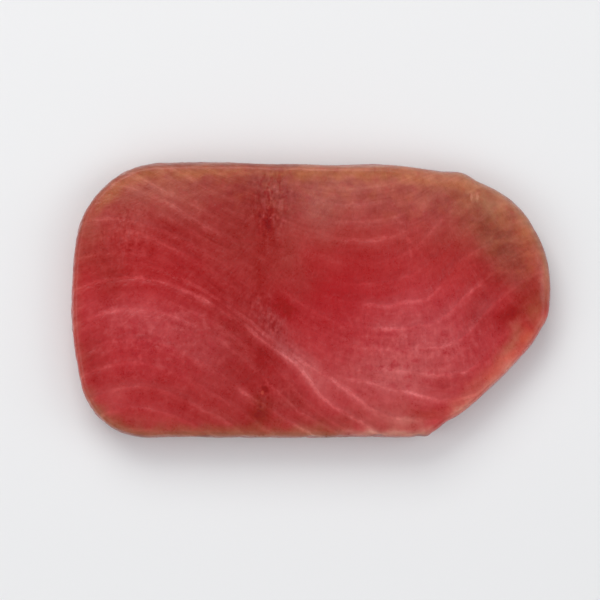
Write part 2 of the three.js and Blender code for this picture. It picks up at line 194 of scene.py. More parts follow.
def noise(x, y, z=0.0, seed=0):
    """Smooth noise from about -1 to 1, with cells one unit wide."""
    x, y, z = np.broadcast_arrays(
        np.asarray(x, float), np.asarray(y, float), np.asarray(z, float)
    )
    ix, iy, iz = np.floor(x), np.floor(y), np.floor(z)
    fx, fy, fz = x - ix, y - iy, z - iz
    ux, uy, uz = (f * f * f * (f * (f * 6 - 15) + 10) for f in (fx, fy, fz))
    total = np.zeros(x.shape)
    for a in (0, 1):
        for b in (0, 1):
            for c in (0, 1):
                turn = hashed(ix + a, iy + b, iz + c, seed) * 2 * math.pi
                up = hashed(ix + a, iy + b, iz + c, seed + 77) * 2 - 1
                flat = np.sqrt(1 - up * up)
                dot = (
                    (fx - a) * np.cos(turn) * flat
                    + (fy - b) * np.sin(turn) * flat
                    + (fz - c) * up
                )
                total += (
                    dot
                    * (ux if a else 1 - ux)
                    * (uy if b else 1 - uy)
                    * (uz if c else 1 - uz)
                )
    return total * 1.6


def layered(x, y, z=0.0, seed=0, times=3):
    total, size, weight = 0.0, 1.0, 0.0
    for i in range(times):
        total = total + noise(x * 2**i, y * 2**i, np.asarray(z) * 2**i, seed + i) * size
        weight += size
        size *= 0.5
    return total / weight


def bump(x, y, at, width):
    return np.exp(-((x - at[0]) ** 2 + (y - at[1]) ** 2) / (width * width))


def course(knots, x):
    """A smooth line through the knots, straight beyond both ends. Returns y and its slope."""
    kx = np.array([k[0] for k in knots], float)
    ky = np.array([k[1] for k in knots], float)
    step = np.diff(kx)
    rise = np.diff(ky) / step
    slope = np.empty(len(kx))
    slope[0], slope[-1] = rise[0], rise[-1]
    slope[1:-1] = (rise[:-1] * step[1:] + rise[1:] * step[:-1]) / (step[1:] + step[:-1])
    i = np.clip(np.searchsorted(kx, x) - 1, 0, len(kx) - 2)
    t = np.clip((x - kx[i]) / step[i], 0, 1)
    h00, h10 = 2 * t**3 - 3 * t**2 + 1, t**3 - 2 * t**2 + t
    h01, h11 = -2 * t**3 + 3 * t**2, t**3 - t**2
    y = h00 * ky[i] + h10 * step[i] * slope[i] + h01 * ky[i + 1] + h11 * step[i] * slope[i + 1]
    dy = (
        (6 * t**2 - 6 * t) * (ky[i] - ky[i + 1]) / step[i]
        + (3 * t**2 - 4 * t + 1) * slope[i]
        + (3 * t**2 - 2 * t) * slope[i + 1]
    )
    y = y + np.where(x < kx[0], (x - kx[0]) * slope[0], 0)
    y = y + np.where(x > kx[-1], (x - kx[-1]) * slope[-1], 0)
    return y, dy


# ---- outline ----
def rounded_chain():
    dense = []
    n = len(CORNERS)
    for i in range(n):
        a, b, c = CORNERS[i - 1], CORNERS[i], CORNERS[(i + 1) % n]
        inx, iny, outx, outy = b[0] - a[0], b[1] - a[1], c[0] - b[0], c[1] - b[1]
        il, ol = math.hypot(inx, iny), math.hypot(outx, outy)
        ux, uy, vx, vy = inx / il, iny / il, outx / ol, outy / ol
        turn = math.atan2(ux * vy - uy * vx, ux * vx + uy * vy)
        r, side = b[2], math.copysign(1, turn)
        back = r * math.tan(abs(turn) / 2)
        sx, sy = b[0] - ux * back, b[1] - uy * back
        cx, cy = sx - uy * r * side, sy + ux * r * side
        steps = max(6, math.ceil(abs(turn) * r / 0.6))
        for k in range(steps + 1):
            g = turn * k / steps
            rx, ry = sx - cx, sy - cy
            dense.append(
                (
                    cx + rx * math.cos(g) - ry * math.sin(g),
                    cy + rx * math.sin(g) + ry * math.cos(g),
                )
            )
    return np.array(dense)


def evenly(chain, count):
    loop = np.vstack([chain, chain[:1]])
    far = np.r_[0, np.cumsum(np.hypot(*np.diff(loop, axis=0).T))]
    want = far[-1] * np.arange(count) / count
    return np.stack([np.interp(want, far, loop[:, i]) for i in (0, 1)], 1)


def outward(points, reach):
    t = np.roll(points, -reach, axis=0) - np.roll(points, reach, axis=0)
    t /= np.hypot(t[:, 0], t[:, 1])[:, None]
    return np.stack([t[:, 1], -t[:, 0]], 1)


def make_outline():
    even = evenly(rounded_chain(), OUTLINE_SAMPLES)
    dirs = outward(even, 24)
    x, y = even.T
    w = 2 * math.pi * np.arange(OUTLINE_SAMPLES) / OUTLINE_SAMPLES
    waves = 0.5 * np.sin(7 * w + 0.6) + 0.3 * np.sin(13 * w + 2.1) + 0.2 * np.sin(23 * w + 4.0)
    d = WAVE * waves
    for lx, ly, stand, width in LUMPS:
        d = d + stand * bump(x, y, (lx, ly), width)
    rough = even + dirs * d[:, None]
    low, high = rough.min(0), rough.max(0)
    return (rough - (low + high) / 2) * np.array([LENGTH, WIDTH]) / (high - low)


outline = make_outline()
facing = outward(outline, 60)


def skin_side(x, y):
    return smooth(20, 62, x) * smooth(-16, 8, y) * smooth(36, 62, np.hypot(x, y))


def top_height(x, y):
    nose = smooth(15, 100, x) * NOSE_THIN
    butt = smooth(35, 100, -x) * BUTT_THIN
    slant = smooth(70, 100, x * 0.72 - y * 0.7) * CUT_THIN
    crown = 0.9 * ((x / 93) ** 2 * 0.35 + (y / 53) ** 2 * 0.65)
    soft = (
        0.3 * np.sin(x * 0.062 + y * 0.021 + 0.4)
        + 0.22 * np.sin(x * 0.035 - y * 0.105 + 1.9)
        + 0.14 * np.sin(x * 0.121 + y * 0.088 + 3.3)
    )
    return THICK - 0.45 - nose - butt - slant - crown + soft


# ---- the closed mesh: top grid, roll-over, wall, tuck, flat face ----
GRID_CORNERS = [(-82, -44), (70, -38), (76, 38), (-82, 44)]
anchors = [int(np.argmin(np.hypot(outline[:, 0] - x, outline[:, 1] - y))) for x, y in GRID_CORNERS]


def loop_samples(columns, rows):
    """Where each place of a loop round a grid of that size lies along the outline."""
    counts = [columns, rows, columns, rows]
    out = []
    for side in range(4):
        a, b = anchors[side], anchors[(side + 1) % 4]
        span = (b - a) % OUTLINE_SAMPLES
        out.append(a + span * np.arange(counts[side]) / counts[side])
    return np.concatenate(out) % OUTLINE_SAMPLES


def edge_point(s, inset):
    i = np.floor(s).astype(int) % OUTLINE_SAMPLES
    j = (i + 1) % OUTLINE_SAMPLES
    t = (s - np.floor(s))[:, None]
    on = outline[i] * (1 - t) + outline[j] * t
    way = facing[i] * (1 - t) + facing[j] * t
    inset = np.asarray(inset)
    return on - way * (inset[:, None] if inset.ndim else inset), on, way


def square_grid(rim, columns, rows):
    """A grid from -1 to 1 each way, spread out so that its rim is the given loop."""
    u, v = np.meshgrid(
        2 * np.arange(columns + 1) / columns - 1, 2 * np.arange(rows + 1) / rows - 1
    )
    far = np.maximum(np.abs(u), np.abs(v))
    safe = np.maximum(far, 1e-12)
    a, b = u / safe, v / safe
    place = np.where(
        b <= -0.9999999,
        (a + 1) / 2 * columns,
        np.where(
            a >= 0.9999999,
            columns + (b + 1) / 2 * rows,
            np.where(
                b >= 0.9999999,
                columns + rows + (1 - a) / 2 * columns,
                2 * columns + rows + (1 - b) / 2 * rows,
            ),
        ),
    ) % (2 * (columns + rows))
    low = np.floor(place + 1e-9).astype(int)
    t = (place - low)[..., None]
    n = len(rim)
    at = rim[low % n] * (1 - t) + rim[(low + 1) % n] * t
    return at * far[..., None]


def grid_loop(ids):
    return np.concatenate([ids[0, :-1], ids[:-1, -1], ids[-1, :0:-1], ids[:0:-1, 0]])


LOOP = 2 * (COLUMNS + ROWS)
samples = loop_samples(COLUMNS, ROWS)
_, on_edge, way_out = edge_point(samples, 0.0)


def slanting(x, y):
    return smooth(48, 60, x) * smooth(6, -10, y)


roll_in = (
    ROLL_IN
    + ROLL_SKIN * skin_side(on_edge[:, 0], on_edge[:, 1])
    + ROLL_SLANT * slanting(on_edge[:, 0], on_edge[:, 1])
)


def rolled(steps):
    """How far over and how far down a rim has come at each step as it turns from flat to upright.
    The turn starts gently, so that no line shows where it begins."""
    s = np.linspace(0, 1, 600)
    a = math.pi / 2 * s**1.45
    over = np.r_[0, np.cumsum((np.cos(a[1:]) + np.cos(a[:-1])) / 2)]
    down = np.r_[0, np.cumsum((np.sin(a[1:]) + np.sin(a[:-1])) / 2)]
    want = np.arange(1, steps + 1) / steps
    return np.interp(want, s, over / over[-1]), np.interp(want, s, down / down[-1])


places, quads, tris = [], [], []
count = 0


def add(points):
    global count
    ids = count + np.arange(len(points))
    places.append(points)
    count += len(points)
    return ids


rim, _, _ = edge_point(samples, roll_in)
top = square_grid(rim, COLUMNS, ROWS)
flat = top.reshape(-1, 2)
ids = add(np.column_stack([flat, top_height(flat[:, 0], flat[:, 1])])).reshape(ROWS + 1, COLUMNS + 1)
quads.append(
    np.stack([ids[:-1, :-1], ids[:-1, 1:], ids[1:, 1:], ids[1:, :-1]], -1).reshape(-1, 4)
)
ring = grid_loop(ids)
laid_out = [flat]  # where each place goes when the rim and the sides are folded flat
gone = np.zeros(LOOP)  # how far down the side the last ring is, along the surface
last = places[0][ring]


def next_ring(points):
    global ring, gone, last
    made = add(points)
    quads.append(np.stack([ring, made, np.roll(made, -1), np.roll(ring, -1)], 1))
    gone = gone + np.linalg.norm(points - last, axis=1)
    laid_out.append(edge_point(samples, roll_in - gone)[0])
    ring, last = made, points


for over, down in zip(*rolled(ROLL_STEPS)):
    at, _, _ = edge_point(samples, LEAN + (roll_in - LEAN) * (1 - over))
    next_ring(np.column_stack([at, top_height(at[:, 0], at[:, 1]) - ROLL_DROP * down]))
shoulder, _, _ = edge_point(samples, LEAN)
start = top_height(shoulder[:, 0], shoulder[:, 1]) - ROLL_DROP
for k in range(1, WALL_STEPS + 1):
    t = k / WALL_STEPS
    at, _, _ = edge_point(samples, LEAN * (1 - math.sin(t * math.pi / 2)))
    next_ring(np.column_stack([at, start + (BELLY_Z - start) * t]))
for k in range(1, TUCK_STEPS + 1):
    a = k / TUCK_STEPS * math.pi / 2
    at, _, _ = edge_point(samples, TUCK_IN * (1 - math.cos(a)))
    z = 0.0 if k == TUCK_STEPS else BELLY_Z * (1 - math.sin(a))
    next_ring(np.column_stack([at, np.full(LOOP, z)]))

laid_out = np.concatenate(laid_out)
SIDE_QUADS = sum(len(q) for q in quads)

# the flat face is coarser: two places of the loop become one
low_samples = loop_samples(COLUMNS // 2, ROWS // 2)
low_rim, _, _ = edge_point(low_samples, TUCK_IN + 1.3)
low = square_grid(low_rim, COLUMNS // 2, ROWS // 2).reshape(-1, 2)
ids = add(np.column_stack([low, np.zeros(len(low))])).reshape(ROWS // 2 + 1, COLUMNS // 2 + 1)
quads.append(
    np.stack([ids[:-1, :-1], ids[1:, :-1], ids[1:, 1:], ids[:-1, 1:]], -1).reshape(-1, 4)
)
inner = grid_loop(ids)
f0, f1, f2 = ring[0::2], ring[1::2], np.roll(ring[0::2], -1)
c0, c1 = inner, np.roll(inner, -1)
tris += [np.stack([f0, c0, f1], 1), np.stack([c0, c1, f1], 1), np.stack([f1, c1, f2], 1)]

P = np.concatenate(places)
quads = np.concatenate(quads)
tris = np.concatenate(tris)


def vertex_normals(points):
    n = np.zeros_like(points)
    a, b, c, d = (points[quads[:, i]] for i in range(4))
    f = np.cross(c - a, d - b)
    for i in range(4):
        np.add.at(n, quads[:, i], f)
    a, b, c = (points[tris[:, i]] for i in range(3))
    f = np.cross(b - a, c - a)
    for i in range(3):
        np.add.at(n, tris[:, i], f)
    return n / np.maximum(np.linalg.norm(n, axis=1), 1e-12)[:, None]


N = vertex_normals(P)


# ---- where the connective sheets and the fibres run ----
def muscle(points):
    """For each point: the number of the sheet at or near it as a smooth field, how many mm one number
    takes, the strength of the nearest sheet, and the coordinates across and along the fibres."""
    depth = top_height(points[:, 0], points[:, 1]) - points[:, 2]
    x = points[:, 0] + SEPTA_LEAN[0] * depth
    y = points[:, 1] + SEPTA_LEAN[1] * depth
    # the courses wander a little
    x = x + 0.9 * noise(x / 23, y / 19, depth / 17, 11)
    y = y + 0.45 * noise(x / 13, y / 11, depth / 9, 12)
    lines, slopes = zip(*(course(knots, x) for knots, _ in SEPTA))
    lines, slopes = list(lines), np.array(slopes)
    for k in range(1, len(lines)):
        lines[k] = np.minimum(lines[k], lines[k - 1] - LEAST_GAP)
    lines = np.array(lines)
    top_line = lines[0] + 9.0
    end_line = lines[-1] - 9.0
    lines = np.vstack([top_line, lines, end_line])
    slopes = np.vstack([slopes[:1], slopes, slopes[-1:]])
    gaps = lines[:-1] - lines[1:]
    rate = 1 / gaps
    knot = np.vstack([rate[:1], 2 * rate[1:] * rate[:-1] / (rate[1:] + rate[:-1]), rate[-1:]])
    n = len(lines)
    k = np.clip((lines > y).sum(0) - 1, 0, n - 2)
    each = np.arange(len(x))
    g = gaps[k, each]
    t = np.clip((lines[k, each] - y) / g, 0, 1)
    m0, m1 = knot[k, each] * g, knot[k + 1, each] * g
    s = (t**3 - 2 * t**2 + t) * m0 + (-2 * t**3 + 3 * t**2) + (t**3 - t**2) * m1
    ds = (3 * t**2 - 4 * t + 1) * m0 + (-6 * t**2 + 6 * t) + (3 * t**2 - 2 * t) * m1
    ds = np.maximum(ds, 0.15) / g
    slope = slopes[k, each] * (1 - t) + slopes[k + 1, each] * t
    number = k + s - 1 + np.where(y > lines[0], -(y - lines[0]) / 9, 0)
    number = number + np.where(y < lines[-1], (lines[-1] - y) / 9, 0)
    gap = 1 / (ds * np.sqrt(1 + slope**2))
    nearest = np.clip(np.round(number), 0, len(SEPTA) - 1).astype(int)
    strength = np.zeros(len(x))
    for i, (_, along) in enumerate(SEPTA):
        mine = nearest == i
        strength[mine] = np.interp(x[mine], [a[0] for a in along], [a[1] for a in along])
    strength *= smooth(-0.6, -0.2, number) * smooth(0.6, 0.2, number - (len(SEPTA) - 1))
    rx, ry = x - FAN_AT[0], FAN_AT[1] - y
    reach = np.hypot(rx, ry)
    across = np.arctan2(rx, ry) * 100.0
    return number, gap, strength, across, reach, slope


number, gap, strength, across, reach, slope = muscle(P)
away = np.abs(number - np.round(number)) * gap  # mm to the nearest sheet

# how far in from the edge each point lies, and whereabouts round it
edge_in = np.empty(len(P))
edge_at = np.empty(len(P), int)
for i in range(0, len(P), 4000):
    d = np.hypot(
        P[i : i + 4000, None, 0] - outline[None, ::6, 0],
        P[i : i + 4000, None, 1] - outline[None, ::6, 1],
    )
    edge_at[i : i + 4000] = d.argmin(1) * 6
    edge_in[i : i + 4000] = d.min(1)
edge_x, edge_y = outline[edge_at].T


def to_seams(x, y):
    """How far each point is from the nearest seam, in mm, and how strong that seam is."""
    best = np.full(len(x), 99.0)
    much = np.zeros(len(x))
    for run, strong in SEAMS:
        for k, ((ax, ay), (bx, by)) in enumerate(zip(run[:-1], run[1:])):
            lx, ly = bx - ax, by - ay
            t = np.clip(((x - ax) * lx + (y - ay) * ly) / (lx * lx + ly * ly), 0, 1)
            d = np.hypot(x - ax - t * lx, y - ay - t * ly)
            along = (k + t) / (len(run) - 1)
            fade = smooth(0.0, 0.18, along) * smooth(1.0, 0.82, along)
            near = d < best
            best = np.where(near, d, best)
            much = np.where(near, strong * fade, much)
    return best, much


seam_away, seam_strength = to_seams(P[:, 0], P[:, 1])
seam_strength = seam_strength * smooth(4.0, 10.0, P[:, 2])

# ---- relief ----
upward = np.clip(N[:, 2], 0, 1)
side = 1 - np.abs(N[:, 2])
under = smooth(0.2, 0.9, -N[:, 2])
hold = smooth(0.0, 2.2, P[:, 2])  # nothing moves where the slice lies on its face
x, y, z = P.T
patch = 0.5 + 0.5 * noise(x / 14, y / 14, z / 14, 22)
blocks = (0.22 * (1 - np.exp(-((away / 2.3) ** 2))) - 0.15) * (0.5 + 0.8 * np.clip(strength, 0, 1))
grooves = -0.13 * strength * np.exp(-((away / 0.7) ** 2))
fibre = noise(across / 0.75, reach / 6.0, z / 3.0, 21) * (0.4 + 0.9 * patch)
pebble = noise(x / 1.7, y / 1.7, z / 1.7, 27) * 0.6 + noise(x / 3.1, y / 3.1, z / 3.1, 28)
swell = 0.24 * noise(x / 21, y / 17, z / 12, 23) + 0.12 * noise(x / 8, y / 7, z / 7, 24)
seam_dip = -0.10 * seam_strength * np.exp(-((seam_away / 0.9) ** 2))
cut = 0.26 * noise(x / 16, y / 16, z / 6.0, 25) + 0.11 * noise(x / 3.4, y / 3.4, z / 2.2, 26)
shelves = 0.09 * noise(x / 26, y / 26, z / 1.9, 29)  # thin layers that end at the sides
cleft = -0.42 * strength * np.exp(-((away / 0.55) ** 2)) * smooth(0.3, 0.85, side)
relief = (
    upward * (blocks + grooves + 0.04 * fibre + 0.045 * pebble + swell + seam_dip)
    + side * (cut + shelves + cleft + 0.06 * fibre + 0.05 * pebble)
    + side * blocks * 0.7
) * hold
relief *= 1 - under
P = P + N * relief[:, None]
P[:, 2] = np.maximum(P[:, 2], 0.0)

# ---- colours of the flesh, as they look from above, each channel from 0 to 255 ----
# from the heart of the slice out to its skin side: y in mm and the colour there
GRADIENT = [
    (-12, (178, 52, 56)),
    (-4, (176, 48, 52)),
    (4, (172, 43, 46)),
    (11, (170, 46, 47)),
    (18, (170, 51, 51)),
    (24, (169, 59, 56)),
    (30, (168, 66, 62)),
    (36, (168, 74, 67)),
    (41, (170, 83, 72)),
    (46, (174, 92, 77)),
    (51, (180, 106, 88)),
]
# centre x, y, half sizes, turn in degrees, how much of it, colour
ZONES = [
    # the first zone is partly the flesh's own deeper tone and partly a painted shadow, cast where a cover lay over
    # the butt half
    (-30, 0, 20, 80, 0, 0.6, (144, 46, 43)),  # a darker stretch across the slice
    (11.5, 3.5, 12, 10, 0, 0.6, (169, 37, 42)),  # deep heart
    (-4, 5, 5, 7, 0, 0.5, (164, 55, 55)),
    (2.6, 37, 10, 9, -10, 0.7, (168, 89, 81)),  # greyish, towards the skin
    (9.5, 44.2, 12, 3.0, 0, 0.55, (178, 98, 86)),
    (-8, 38, 5, 9, 0, 0.5, (150, 60, 56)),
    (-9, 17, 8, 11, 0, 0.55, (159, 62, 57)),
    (32, 14, 13, 9, 0, 0.45, (180, 54, 57)),
    # the pale haze: partly paler flesh and partly a painted glare over the red
    (41, 0, 20, 9, 0, 0.55, (186, 63, 68)),  # pale haze
    (44, -13, 21, 13, 0, 0.8, (190, 80, 84)),
    (34, -29.5, 24, 13, 0, 0.88, (190, 90, 90)),
    (14, -33, 13, 9, -35, 0.45, (180, 77, 77)),
    (1, -28, 11, 5, -45, 0.7, (186, 86, 86)),
    (-0.8, -30.4, 10, 1.8, -48, 0.5, (200, 102, 101)),
    (-9.0, -18.6, 8, 4.6, -45, 0.8, (174, 79, 80)),
    (-15.8, -8.5, 9, 4.6, -55, 0.65, (155, 57, 58)),
    (-13.0, 38, 6, 8, 0, 0.75, (151, 63, 58)),
    (-14.5, 46, 9, 6, 0, 0.8, (149, 67, 60)),
    (-17.3, 28.5, 3.7, 9.0, 5, 0.9, (141, 31, 29)),  # dark red blots
    (-20.2, 12, 2.8, 8, 0, 0.6, (144, 33, 31)),
    (-18.5, -21.8, 5.0, 5.0, 10, 0.9, (143, 28, 29)),
    (-9.9, -3.3, 5.0, 2.9, -46, 1.0, (144, 15, 20)),
    (-8.2, -35.0, 11, 3.0, -48, 0.65, (154, 44, 44)),
    (-9, -39.6, 12, 3.8, -8, 0.65, (155, 56, 53)),
    (-18.9, -43.6, 4.0, 5.8, 0, 0.95, (125, 29, 20)),
    (5, -46.8, 22, 3.4, 0, 0.75, (153, 54, 49)),
    (29, -43.0, 12, 4.4, 4, 0.6, (184, 90, 85)),
    (37.5, -46.8, 6, 2.6, 0, 0.75, (190, 106, 98)),
    (45.4, -44.3, 7.0, 2.2, 0, 0.75, (162, 50, 43)),
    (55.5, -31.6, 8, 3.0, 8, 0.8, (169, 56, 58)),
    (62, -16.5, 5, 6, -20, 0.6, (171, 49, 54)),
    (66, -1, 7, 11, -10, 0.6, (163, 60, 60)),
    (79.5, -4.5, 9.2, 4.2, 38, 0.95, (144, 27, 27)),
    (82.5, 7, 8.5, 8, 0, 0.75, (155, 60, 53)),
    (76.8, -16.0, 10, 2.5, 60, 0.85, (174, 96, 76)),  # the thin flesh by the slanting cut
    (87.6, -3.8, 3.4, 6.5, 0, 0.9, (156, 70, 52)),
    (82.6, -13.0, 3.2, 1.8, 50, 0.95, (194, 62, 38)),
    (76.6, -22.2, 6.0, 2.2, 52, 0.9, (206, 88, 70)),
    (70.4, -27.2, 4.0, 2.4, 48, 0.8, (202, 84, 70)),
    (62.0, -34.0, 6.0, 2.4, 44, 0.5, (190, 82, 72)),
    (70.5, 28, 13, 10, -28, 0.95, (149, 78, 59)),  # brown towards the skin
    (78.0, 17.0, 9, 7.5, -20, 0.85, (153, 82, 65)),
    (60.0, 38.6, 7.6, 5.4, -20, 0.8, (152, 79, 60)),
    (52, 45.6, 13, 3.6, -10, 0.85, (164, 89, 69)),
    (30.5, 41.5, 8, 3.6, -30, 0.5, (160, 66, 60)),
    (57.5, 44.2, 4.0, 2.0, -20, 0.5, (179, 98, 66)),
    (68.3, 38.3, 9.0, 4.8, -28, 0.95, (173, 121, 94)),
    (78.2, 37.0, 2.4, 1.8, -35, 0.45, (178, 76, 68)),
    (82.2, 27.6, 3.4, 3.2, -30, 0.85, (168, 90, 58)),
    (85.6, 23.0, 2.4, 3.8, 12, 0.9, (191, 106, 70)),
    (68.5, 26.6, 7.5, 4.2, -6, 0.6, (143, 64, 52)),
    (74.0, 19.6, 4.4, 3.4, 0, 0.5, (139, 64, 52)),
    (72.5, 24.6, 6.0, 2.2, -4, 0.45, (155, 86, 68)),
    (54.0, 37.6, 5.0, 3.4, -30, 0.45, (148, 66, 57)),
    (84.5, 16, 5.0, 6.5, 0, 0.85, (167, 72, 58)),
    # the half towards the butt end
    (-50, 12, 26, 11, -24, 0.55, (170, 41, 45)),
    (-62, -8, 20, 9, -18, 0.65, (186, 78, 81)),
    (-40, -20, 15, 8, -38, 0.55, (184, 77, 79)),
    (-34, 22, 9, 12, 0, 0.4, (166, 58, 56)),
    (-33, -3, 8, 4, -36, 0.55, (155, 36, 39)),
    (-54, 26, 9, 4, -20, 0.55, (151, 36, 37)),
    (-78, 12, 6, 13, 6, 0.6, (157, 50, 47)),
    (-62, 41, 16, 5, 4, 0.5, (160, 82, 70)),
    (-86, 28, 5, 12, 0, 0.5, (160, 80, 66)),
    (-56, -36, 20, 6, -8, 0.6, (158, 45, 45)),
    (-84, -22, 6, 12, 0, 0.6, (150, 42, 41)),
    (-76, -36, 10, 5, 20, 0.55, (180, 72, 71)),
    (-34, -45, 12, 4, 0, 0.5, (160, 56, 52)),
    (-27, 31, 8, 9, -24, 0.5, (146, 42, 40)),
    (-27, -28, 9, 6, -34, 0.5, (150, 36, 37)),
    (-68, -46, 12, 4, 0, 0.5, (166, 68, 61)),
]

# painted shade: dark marks along the lower rim, where its side lies in shadow
PAINTED_SHADE_MARKS = [(-70, 6.0), (-41, 3.5), (0.2, 2.6), (9.0, 4.6), (25.4, 2.4), (42.4, 3.0)]  # x and half width


def tone(p, e):
    """The colour of the flesh without its lines and grain. Painted shade along the lower rim, painted glare in the
    pale haze and painted shadow in the darker stretch are part of it.
    """
    depth = top_height(p[:, 0], p[:, 1]) - p[:, 2]
    x = p[:, 0] + 0.25 * SEPTA_LEAN[0] * depth
    y = p[:, 1] + 0.25 * SEPTA_LEAN[1] * depth
    x = x + 2.6 * noise(x / 11, y / 11, depth / 9, 31) + 1.0 * noise(x / 3.6, y / 3.6, depth / 4, 34)
    y = y + 2.6 * noise(p[:, 0] / 11, y / 11, depth / 9, 32) + 1.0 * noise(p[:, 0] / 3.6, y / 3.6, depth / 4, 35)
    stops = [g[0] for g in GRADIENT]
    c = np.stack([np.interp(y + 0.02 * x, stops, [g[1][i] for g in GRADIENT]) for i in range(3)], 1)

    def mix(w, colour):
        nonlocal c
        w = np.clip(w, 0, 1)[:, None]
        c = c * (1 - w) + np.array(colour, float) * w

    for zx, zy, rx, ry, turn, much, colour in ZONES:
        g = math.radians(turn)
        u = (x - zx) * math.cos(g) + (y - zy) * math.sin(g)
        v = -(x - zx) * math.sin(g) + (y - zy) * math.cos(g)
        mix(much * np.exp(-((u / rx) ** 2) - (v / ry) ** 2), colour)
    # a rim where the cut flesh has dried and thinned, with painted shade along its lower edge
    ex, ey, ein = e
    upper = smooth(30, 42, ey) * smooth(74, 58, ex)
    lower = smooth(-30, -44, ey) * smooth(58, 44, ex)
    slant = smooth(44, 54, ex) * smooth(4, -8, ey)
    shoulder = smooth(48, 60, ex) * smooth(-4, 8, ey)
    left = smooth(-66, -84, ex) * (1 - upper) * (1 - lower)
    wob = 1 + 0.4 * noise(p[:, 0] / 6, p[:, 1] / 6, 0, 33)
    some = 0.75 + 0.5 * noise(p[:, 0] / 9, p[:, 1] / 9, 0, 36)

    rim = smooth(9.5, 2.6, depth - 2.2 * noise(p[:, 0] / 10, p[:, 1] / 10, 0, 37))

    def band(at, wide):
        return rim * np.exp(-(((ein - at * wob) / (wide * wob)) ** 2))

    step = np.exp(-(((ex - 56) / 9) ** 2)) * upper
    dull = np.exp(-(((ex + 20) / 8) ** 2))
    mix(0.8 * upper * (1 - 0.6 * step) * (1 - 0.6 * dull) * some * band(4.0, 2.2), (177, 104, 70))
    mix(0.8 * upper * smooth(-20, 12, ex) * band(0.6, 2.0), (184, 110, 90))
    mix(0.85 * upper * smooth(12, -20, ex) * band(0.6, 2.0), (160, 86, 72))
    mix(0.55 * shoulder * smooth(8, 26, ey) * some * band(4.0, 4.0), (165, 90, 64))
    mix(0.6 * shoulder * smooth(26, 8, ey) * some * band(2.6, 2.0), (174, 92, 74))
    mix(0.85 * shoulder * band(1.5, 1.6), (180, 116, 92))
    nose = smooth(84, 90, ex) * smooth(-6, 3, ey) * smooth(18, 6, ey)
    mix(0.8 * nose * band(2.2, 1.6), (186, 102, 84))
    mix(0.65 * slant * smooth(0, -10, ey) * smooth(48, 60, ex) * some * band(4.0, 3.4), (192, 93, 79))
    bare = 1 - 0.55 * np.exp(-(((ex - 84) / 4.5) ** 2)) - 0.75 * np.exp(-(((ex - 50) / 5) ** 2))
    mix(0.95 * slant * smooth(-3, -12, ey) * bare * some * band(1.8, 1.7), (207, 132, 114))
    mix(0.8 * lower * band(2.8, 2.6) * smooth(18, 6, ex), (154, 78, 60))
    mix(0.75 * lower * band(1.4, 1.2) * smooth(18, 6, ex), (163, 104, 78))
    mix(0.55 * lower * band(4.2, 2.2) * smooth(16, 28, ex) * smooth(50, 40, ex), (179, 92, 83))
    mix(0.9 * lower * band(1.9, 1.7) * smooth(4, 24, ex) * smooth(53, 43, ex), (203, 140, 123))
    # painted shade: a thin dark line at the very edge of the lower rim
    mix(0.6 * lower * band(0.2, 0.7) * smooth(5.4, 2.6, depth), (140, 84, 66))
    # painted shadow: dark marks along the lower rim, where its side would lie in shade
    for at, wide in PAINTED_SHADE_MARKS:
        near = lower * some * np.exp(-(((ex - at) / wide) ** 4))
        mix(0.65 * near * np.exp(-(((ein - 0.85) / 0.55) ** 2)) * smooth(6.0, 4.0, depth), (112, 54, 42))
    mix(0.6 * left * some * band(1.4, 2.4), (170, 92, 74))
    # the skinned side is browner and deeper below its rim
    mix(0.75 * np.maximum(upper, shoulder) * smooth(2.6, 8.0, depth) * smooth(7.0, 2.0, ein), (143, 63, 55))
    return c


shade = tone(P, (edge_x, edge_y, edge_in))
# where the rim turns over, its colour is painted to offset the light and the grey gloss that fall there: less red
# where it faces the skin side, redder where it faces away
painted_turn_light = (smooth(0.98, 0.55, N[:, 2]) * smooth(0.02, 0.3, N[:, 2]) * smooth(8, 12.5, z))[:, None]
away_from_skin = smooth(0.5, -0.3, N[:, 1] / np.maximum(side, 0.05))[:, None]
shade = shade + painted_turn_light * (np.array([-9.0, 2.0, 3.0]) + away_from_skin * np.array([20.0, 0.0, -3.0]))
# on the sides and underneath the colour runs on, a little deeper
deep = np.clip(side * smooth(13, 6, z) * 0.5 + under * 0.35, 0, 1)[:, None]
shade = shade * (1 - deep) + shade * np.array([0.93, 0.82, 0.82]) * deep

# ---- where the grain shows ----
heart = np.exp(-(((x - 8) / 19) ** 2) - ((y - 5) / 13) ** 2)
# where the pale haze lies, partly paler flesh and partly painted glare, with a paler stretch like it on the butt
# half; the grain shows more in both
haze_zone = np.exp(-(((x - 38) / 26) ** 2) - ((y + 20) / 16) ** 2)
haze_zone = np.maximum(haze_zone, 0.8 * np.exp(-(((x + 56) / 24) ** 2) - ((y + 14) / 13) ** 2))
blots = np.exp(-(((0.57 * (x + 14.5) - 0.82 * (y + 10)) / 15) ** 2) - ((0.82 * (x + 14.5) + 0.57 * (y + 10)) / 5.5) ** 2)
blots = np.maximum(blots, np.exp(-(((x + 15.5) / 7) ** 2) - ((y - 37) / 13) ** 2))
blots = np.maximum(blots, 0.5 * np.exp(-(((x + 16) / 8) ** 2) - ((y + 36) / 8) ** 2))
blots = np.maximum(blots, 0.7 * np.exp(-(((x + 72) / 12) ** 2) - ((y - 26) / 12) ** 2))
skin = np.clip(smooth(26, 44, y + 0.1 * x) + smooth(54, 80, x) * smooth(-2, 14, y), 0, 1)
level = np.clip(0.85 - 0.6 * heart + 0.2 * haze_zone + 0.5 * skin, 0.2, 1.6)
below = top_height(x, y) - z
upright = smooth(0.4, 0.9, side) * smooth(2.5, 6.5, below)
skinned = np.maximum(
    smooth(30, 42, edge_y) * smooth(74, 58, edge_x), smooth(48, 60, edge_x) * smooth(-4, 8, edge_y)
) * smooth(3.0, 6.5, below) * smooth(0.2, 0.7, side)

